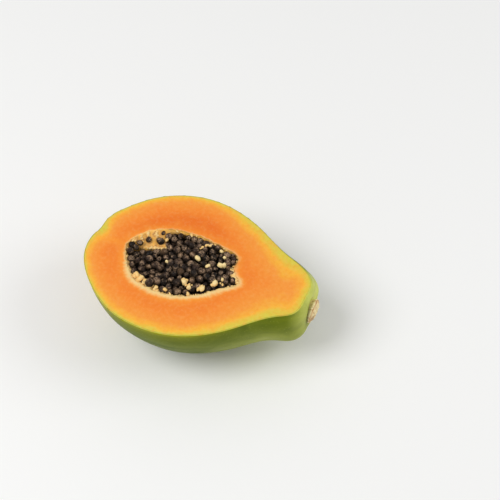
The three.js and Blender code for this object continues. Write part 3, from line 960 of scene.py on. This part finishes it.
class PAPAYA_OT_seeds(bpy.types.Operator):
    """The bed of seeds: a top layer on the solid's places, and a lower one seen in its gaps."""

    bl_idname = "papaya.seeds"
    bl_label = "Seeds"

    DICE = 7
    LOWER_DROP = 4.4
    SIZE_RANGE = (0.84, 1.2)
    HEIGHT_JITTER = 1.1
    STRETCH = (1.1, 0.96, 0.86, 1)
    PALE_STRETCH = (1, 0.8, 0.7, 1)
    HALF_HEIGHT = 1.14  # of a dented seed, in its own radii
    DENTS = ((1.3, 0.13), (3.1, 0.08))  # how often each comes, and its depth
    PALE_DENTING = 1.8
    OLIVE_OVER = 0.93
    CORE_INSET = 2.2
    CORE_DROP = 4.2

    def execute(self, context):
        shape = FruitShape(context.scene)
        settings = context.scene.papaya_seeds
        dice = random.Random(self.DICE)
        bm = bmesh.new()
        self.tone = bm.verts.layers.float.new("tone")
        self.under = bm.verts.layers.float.new("under")
        for seed in thrown_seeds(shape, settings, settings.count, FIXED_SEEDS, RANDOM_SEED):
            if not shape.on_bank(seed.x, seed.y) and not seed.under_pale():
                self.add_seed(bm, shape, settings, seed, shape.bed(seed.x, seed.y) + seed.lift, dice)
        for seed in thrown_seeds(shape, settings, settings.under_count, (), RANDOM_SEED + 1):
            if not shape.on_bank(seed.x, seed.y):
                self.add_seed(bm, shape, settings, seed, shape.bed(seed.x, seed.y) - self.LOWER_DROP, dice)
        for x, y, z, radius in LONE_SEEDS:
            self.add_seed(bm, shape, settings, Seed(x, y, radius), z, dice)
        for x, y, radius in PALE_SEEDS:
            self.add_seed(bm, shape, settings, Seed(x, y, radius, pale=True), shape.bed(x, y) + PALE_LIFT, dice)
        self.add_core(bm, shape)
        bmesh.ops.translate(bm, vec=shape.seat, verts=bm.verts)
        make_piece("seeds", bm, [seed_material(settings)], "seeds", "seed_mass")
        return {"FINISHED"}

    def add_seed(self, bm, shape, settings, seed, height, dice):
        """One plump seed, a little longer than wide and dented, turned any way."""
        turn = Quaternion([dice.gauss(0, 1) for _ in range(4)]).normalized()
        size = seed.radius
        if not seed.pale:
            size *= settings.swell * dice.uniform(*self.SIZE_RANGE)
            height += dice.uniform(-self.HEIGHT_JITTER, self.HEIGHT_JITTER)
        place = Vector((seed.x, seed.y, min(height, shape.top - size * self.HALF_HEIGHT)))
        stretch = Matrix.Diagonal(self.PALE_STRETCH if seed.pale else self.STRETCH)
        made = add_lump(bm, size, Matrix.Translation(place) @ turn.to_matrix().to_4x4() @ stretch)
        offset = Vector([dice.random() * 50 for _ in range(3)])
        tone = 1.0 if seed.pale else (0.5 if dice.random() > self.OLIVE_OVER else 0.38 * dice.random() ** 1.3)
        for v in made:
            out = (v.co - place).normalized()
            dent = sum(noise.noise(out * often + offset) * deep for often, deep in self.DENTS)
            v.co += out * size * dent * (self.PALE_DENTING if seed.pale else 1)
            v[self.tone] = tone
            # Painted shade: each seed darker on its sides and underside, where the seeds shade each other
            v[self.under] = 0 if seed.pale else smoothstep(0.9, 0.15, out.z)

    def add_core(self, bm, shape):
        """Dark seeds pressed together under the ones that show, as one low mound, in full painted shade so that
        the gaps above read dark.
        """
        for v in bmesh.ops.create_uvsphere(bm, u_segments=48, v_segments=16, radius=1)["verts"]:
            angle, flat = math.atan2(v.co.y, v.co.x), math.hypot(v.co.x, v.co.y)
            reach = (shape.reach(angle) - self.CORE_INSET) * flat**shape.cavity_fullness
            place = shape.place(angle, reach, 0)
            top = shape.bed(place.x, place.y) - self.CORE_DROP
            bottom = min(v.co.z * (shape.cavity_depth - self.CORE_INSET), top + 2 * v.co.z)
            place.z = bottom if v.co.z < 0 else top
            v.co = place
            # Darkest tone and full painted shade
            v[self.tone] = 0
            v[self.under] = 1


def jitter(dice, *spreads):
    return Vector([dice.gauss(0, spread) for spread in spreads])


def posed(place, turn, tilt, stretch):
    """The matrix that stretches a lump, tilts it, turns it about the upright and puts it in its place."""
    turned = Matrix.Rotation(turn, 4, "Z") @ Matrix.Rotation(tilt, 4, "Y")
    return Matrix.Translation(place) @ turned @ Matrix.Diagonal(stretch)


class PAPAYA_OT_pulp(bpy.types.Operator):
    """Torn tufts of the pale lining round the seeds, and a few strands between them."""

    bl_idname = "papaya.pulp"
    bl_label = "Pulp"

    DICE = 11
    TUFTS = 170
    STRAND_LUMPS = 14
    STRANDS = (
        # a strand's points in the cut, with height, and its radius
        (((-3, 13.6, 1.0), (-1.4, 15.8, 1.3), (0.6, 17.6, 1.2), (3, 18.8, 0.6), (5, 20, -0.2)), 0.95),
        (
            ((-40.5, 8.6, -3.6), (-36.5, 9.2, -3.4), (-33, 10.4, -3.5), (-29.5, 11, -3.8), (-25.4, 12.6, -4)),
            1.15,
        ),
        (((21.4, 3.4, -1.4), (22, 1, -0.8), (23.2, -1.2, -0.8), (24.8, -3.2, -1), (26, -5, -1.2)), 1.5),
    )
    CLUMPS = (
        # place in the cut, height, width of the clump and number of lumps
        (-38.6, -15.6, 0.2, 2.2, 5), (-35.4, -17.4, 0.6, 2.4, 5), (-32.4, -19.2, 0.2, 2.1, 5),
        (-28.4, -20.6, 0, 1.8, 4), (-23.6, -21.8, -0.1, 1.7, 3), (-17.6, -22.4, -0.2, 1.6, 3),
        (-3, -20.4, -0.3, 1.5, 3), (-7.3, -12.8, 1.4, 1.6, 5), (-4, -15.4, 0.8, 1.5, 4),
        (4.8, -14.2, 0.8, 1.6, 4), (11.8, -9.8, 0.8, 1.8, 5), (16.4, -8.6, 0, 1.3, 4),
        (22.6, 0.6, -0.4, 1.6, 5), (20.4, 2.6, 0, 1.4, 4), (24.6, -3.4, -0.4, 1.5, 4),
        (-48, 10.8, -0.5, 1.2, 4), (-27, 17, -1.8, 1.2, 5), (-42.4, 11.6, -1.6, 1.1, 4),
    )
    FOLDS = (
        # a fold of the bare lining, given as a strand is
        (((-44.6, 16.2, -0.4), (-43.8, 13.6, -0.7)), 0.9),
        (((-40.6, 19.2, -0.4), (-39.8, 16.2, -0.9)), 0.95),
        (((-35.2, 21, -0.6), (-34.4, 18, -1.3)), 0.9),
    )

    def execute(self, context):
        shape = FruitShape(context.scene)
        dice = random.Random(self.DICE)
        noise.seed_set(self.DICE)
        bm = bmesh.new()
        for _ in range(self.TUFTS):
            self.add_tuft(bm, shape, dice)
        for points, radius in self.STRANDS:
            self.add_strand(bm, points, radius, dice)
        for x, y, z, width, count in self.CLUMPS:
            self.add_clump(bm, Vector((x, y, z)), width, count, dice)
        for points, radius in self.FOLDS:
            self.add_strand(bm, points, radius, dice)
        for v in bm.verts:
            v.co.z = min(v.co.z, shape.top)
        bmesh.ops.translate(bm, vec=shape.seat, verts=bm.verts)
        make_piece("pulp", bm, [pulp_material(context.scene.papaya_flesh)], "fruit")
        return {"FINISHED"}

    def add_tuft(self, bm, shape, dice):
        """A torn tuft that points into the cavity; there are most on the near side and at the neck."""
        angle = dice.uniform(-math.pi, math.pi)
        crowded = max(0.5 - 0.5 * math.sin(angle), smoothstep(0.7, 1, math.cos(angle)))
        if dice.random() > 0.12 + 0.88 * crowded**1.5:
            return
        size = dice.uniform(0.5, 1.0)
        stretch = dice.uniform(1.8, 3.6)
        place = shape.place(angle, shape.reach(angle) + 0.4, -dice.uniform(0.9, 2.2))
        turn, tilt = angle + dice.uniform(-0.5, 0.5), dice.uniform(-0.35, 0.5)
        matrix = posed(place, turn, tilt, (stretch, 1, 0.8, 1))
        add_lump(bm, size, matrix, (0.8, 0.45))

    def add_clump(self, bm, middle, width, count, dice):
        """A torn knot of pulp from a few lumps that run into each other."""
        for _ in range(count):
            place = middle + jitter(dice, 0.5, 0.5, 0.3) * width
            turn, tilt = dice.uniform(0, math.pi), dice.uniform(-0.6, 0.6)
            matrix = posed(place, turn, tilt, (dice.uniform(1, 1.7), 1, 0.7, 1))
            add_lump(bm, width * dice.uniform(0.5, 0.78), matrix, (0.7, 0.5), (1.9, 0.22))

    def add_strand(self, bm, points, radius, dice):
        """A soft strand of pulp along a few points, thick in the middle."""
        last = self.STRAND_LUMPS - 1
        for k in range(self.STRAND_LUMPS):
            t = k / last * (len(points) - 1)
            i = min(int(t), len(points) - 2)
            place = Vector(points[i]).lerp(Vector(points[i + 1]), t - i) + jitter(dice, 0.3, 0.3, 0.2)
            size = radius * (0.6 + 0.4 * math.sin(math.pi * k / last)) * dice.uniform(0.6, 1.3)
            add_lump(bm, size, Matrix.Translation(place), (0.7, 0.4))


class PAPAYA_OT_stem_stump(bpy.types.Operator):
    """The dry stump of the stem, with a corky side, a pale rim and a hollow brown face."""

    bl_idname = "papaya.stem_stump"
    bl_label = "Stem stump"

    # Radius and height as shares of the stump's own, and the share of its face that colours it
    PROFILE = (
        (0.0, -0.45, 1.0), (0.74, -0.45, 1.0), (0.77, 0.0, 0.98), (0.82, 0.2, 0.95), (0.93, 0.36, 0.9),
        (0.99, 0.5, 0.84), (1.0, 0.62, 0.78), (0.97, 0.71, 0.73), (0.92, 0.775, 0.67), (0.86, 0.82, 0.62),
        (0.76, 0.93, 0.54), (0.64, 1.01, 0.46), (0.52, 1.05, 0.38), (0.4, 1.02, 0.3), (0.28, 0.93, 0.2),
        (0.14, 0.85, 0.1), (0.0, 0.84, 0.0),
    )
    STEPS = 96
    FACE_FROM = 0.6
    HOLLOW_PLACE = (0.8, -4.6)
    HOLLOW_WIDTHS = (3.4, 2.8)
    HOLLOW_DEPTH = 0.7

    def execute(self, context):
        shape = FruitShape(context.scene)
        stump = context.scene.papaya_stump
        bm = bmesh.new()
        share = bm.verts.layers.float.new("share")
        self.hollow = bm.verts.layers.float.new("hollow")
        chain = []
        for r, h, tint in self.PROFILE:
            v = bm.verts.new((r * stump.radius / MM, 0, h * stump.proud / MM))
            v[share] = tint
            chain.append(v)
        edges = [bm.edges.new(pair) for pair in zip(chain, chain[1:])]
        bmesh.ops.spin(
            bm, geom=chain + edges, cent=(0, 0, 0), axis=(0, 0, 1), angle=2 * math.pi,
            steps=self.STEPS, use_merge=True,
        )
        bmesh.ops.remove_doubles(bm, verts=bm.verts, dist=1e-4)
        bmesh.ops.recalc_face_normals(bm, faces=bm.faces)
        for v in bm.verts:
            self.roughen(v, stump.proud / MM * self.FACE_FROM)
        outward = Vector(stump.lean).normalized()
        turn = Vector((0, 0, 1)).rotation_difference(outward).to_matrix().to_4x4()
        bmesh.ops.transform(bm, matrix=Matrix.Translation(shape.seat + shape.skin(1, 0)) @ turn, verts=bm.verts)
        make_piece("stem_stump_cork", bm, [stump_material(stump)], "stump", "stem_stump")
        return {"FINISHED"}

    def roughen(self, v, face_from):
        """Low waves round the rim, and the lumps and the hollow of the face."""
        angle = math.atan2(v.co.y, v.co.x)
        wave = 1 + 0.04 * math.cos(5 * angle) + 0.03 * math.cos(2 * angle + 0.7)
        wave += 0.03 * noise.noise(Vector((math.cos(angle) * 5, math.sin(angle) * 5, v.co.z * 0.25)))
        v.co.x *= wave
        v.co.y *= wave
        if v.co.z > face_from:
            x, y = ((v.co[i] - self.HOLLOW_PLACE[i]) / self.HOLLOW_WIDTHS[i] for i in range(2))
            v[self.hollow] = bell(math.hypot(x, y), 0, 1)
            lumps = 0.55 * noise.noise(v.co * 0.55) + 0.3 * noise.noise(v.co * 1.4) - 0.25
            v.co.z += lumps - self.HOLLOW_DEPTH * v[self.hollow]


class PAPAYA_OT_studio(bpy.types.Operator):
    """Pale floor, soft lights and the camera."""

    bl_idname = "papaya.studio"
    bl_label = "Studio"

    FLOOR_SIZE = 3
    LIGHT_SIZE = 1.0
    LIT = Vector((0, 0, 0.03))
    KEY_PLACE = Vector((-0.8, -0.5, 1.4))
    FILL_PLACE = Vector((1.2, 0.3, 1.05))

    def execute(self, context):
        studio = context.scene.papaya_studio
        self.floor(context, studio)
        self.sky(context, studio)
        self.soft_light(context, "key", studio.key, self.KEY_PLACE)
        self.soft_light(context, "fill", studio.fill, self.FILL_PLACE)
        self.camera(context, studio)
        return {"FINISHED"}

    def floor(self, context, studio):
        bm = bmesh.new()
        bmesh.ops.create_grid(bm, x_segments=2, y_segments=2, size=self.FLOOR_SIZE)
        mesh = bpy.data.meshes.new("floor")
        bm.to_mesh(mesh)
        bm.free()
        n = Nodes("floor")
        tint = n.tinted(studio.floor, (studio.floor_spots, 0.03, n.noise(3, 2, 0.5)))
        mesh.materials.append(n.finish(tint, 0.6))
        floor = bpy.data.objects.new("floor", mesh)
        context.scene.collection.objects.link(floor)

    def sky(self, context, studio):
        world = bpy.data.worlds.new("soft_sky")
        world.use_nodes = True
        background = world.node_tree.nodes["Background"]
        background.inputs["Color"].default_value = (1, 1, 1, 1)
        background.inputs["Strength"].default_value = studio.sky
        context.scene.world = world
        context.scene.view_settings.view_transform = "Standard"

    def put(self, context, data, place, turn):
        """A light or the camera in its place and turned."""
        thing = bpy.data.objects.new(data.name, data)
        thing.location = place
        thing.rotation_mode = "QUATERNION"
        thing.rotation_quaternion = turn
        context.scene.collection.objects.link(thing)
        return thing

    def soft_light(self, context, name, power, place):
        data = bpy.data.lights.new(name, "AREA")
        data.shape = "DISK"
        data.size = self.LIGHT_SIZE
        data.energy = power
        self.put(context, data, place, (self.LIT - place).to_track_quat("-Z", "Y"))

    def camera(self, context, studio):
        a, e = studio.azimuth, studio.elevation
        back = Vector((math.sin(a) * math.cos(e), -math.cos(a) * math.cos(e), math.sin(e)))
        right = Vector((math.cos(a), math.sin(a), 0))
        up = back.cross(right)
        aim = FruitShape(context.scene).seat * MM + right * studio.aim_right + up * studio.aim_up
        data = bpy.data.cameras.new("camera")
        data.lens = studio.focal
        data.sensor_width = 36
        data.clip_start = 0.01
        turn = Matrix((right, up, back)).transposed().to_quaternion()
        context.scene.camera = self.put(context, data, aim + back * studio.distance, turn)


class PAPAYA_PT_sidebar(bpy.types.Panel):
    """Lists the pieces of the papaya half."""

    bl_idname = "PAPAYA_PT_sidebar"
    bl_label = "Papaya half"
    bl_space_type = "VIEW_3D"
    bl_region_type = "UI"
    bl_category = "Papaya"

    def draw(self, context):
        for operator in OPERATORS:
            self.layout.operator(operator.bl_idname)


OPERATORS = (
    PAPAYA_OT_fruit_half,
    PAPAYA_OT_seeds,
    PAPAYA_OT_pulp,
    PAPAYA_OT_stem_stump,
    PAPAYA_OT_studio,
)
SETTINGS = {
    "papaya_fruit": FruitSettings,
    "papaya_cavity": CavitySettings,
    "papaya_seeds": SeedSettings,
    "papaya_flesh": FleshSettings,
    "papaya_skin": SkinSettings,
    "papaya_stump": StumpSettings,
    "papaya_studio": StudioSettings,
}


def register():
    for group in (*SETTINGS.values(), *OPERATORS, PAPAYA_PT_sidebar):
        bpy.utils.register_class(group)
    for name, group in SETTINGS.items():
        setattr(bpy.types.Scene, name, PointerProperty(type=group))


def unregister():
    for name in SETTINGS:
        delattr(bpy.types.Scene, name)
    for group in (PAPAYA_PT_sidebar, *reversed(OPERATORS), *reversed(SETTINGS.values())):
        bpy.utils.unregister_class(group)


def main():
    register()
    bpy.ops.papaya.fruit_half()
    bpy.ops.papaya.seeds()
    bpy.ops.papaya.pulp()
    bpy.ops.papaya.stem_stump()
    bpy.ops.papaya.studio()


if __name__ == "__main__":
    main()
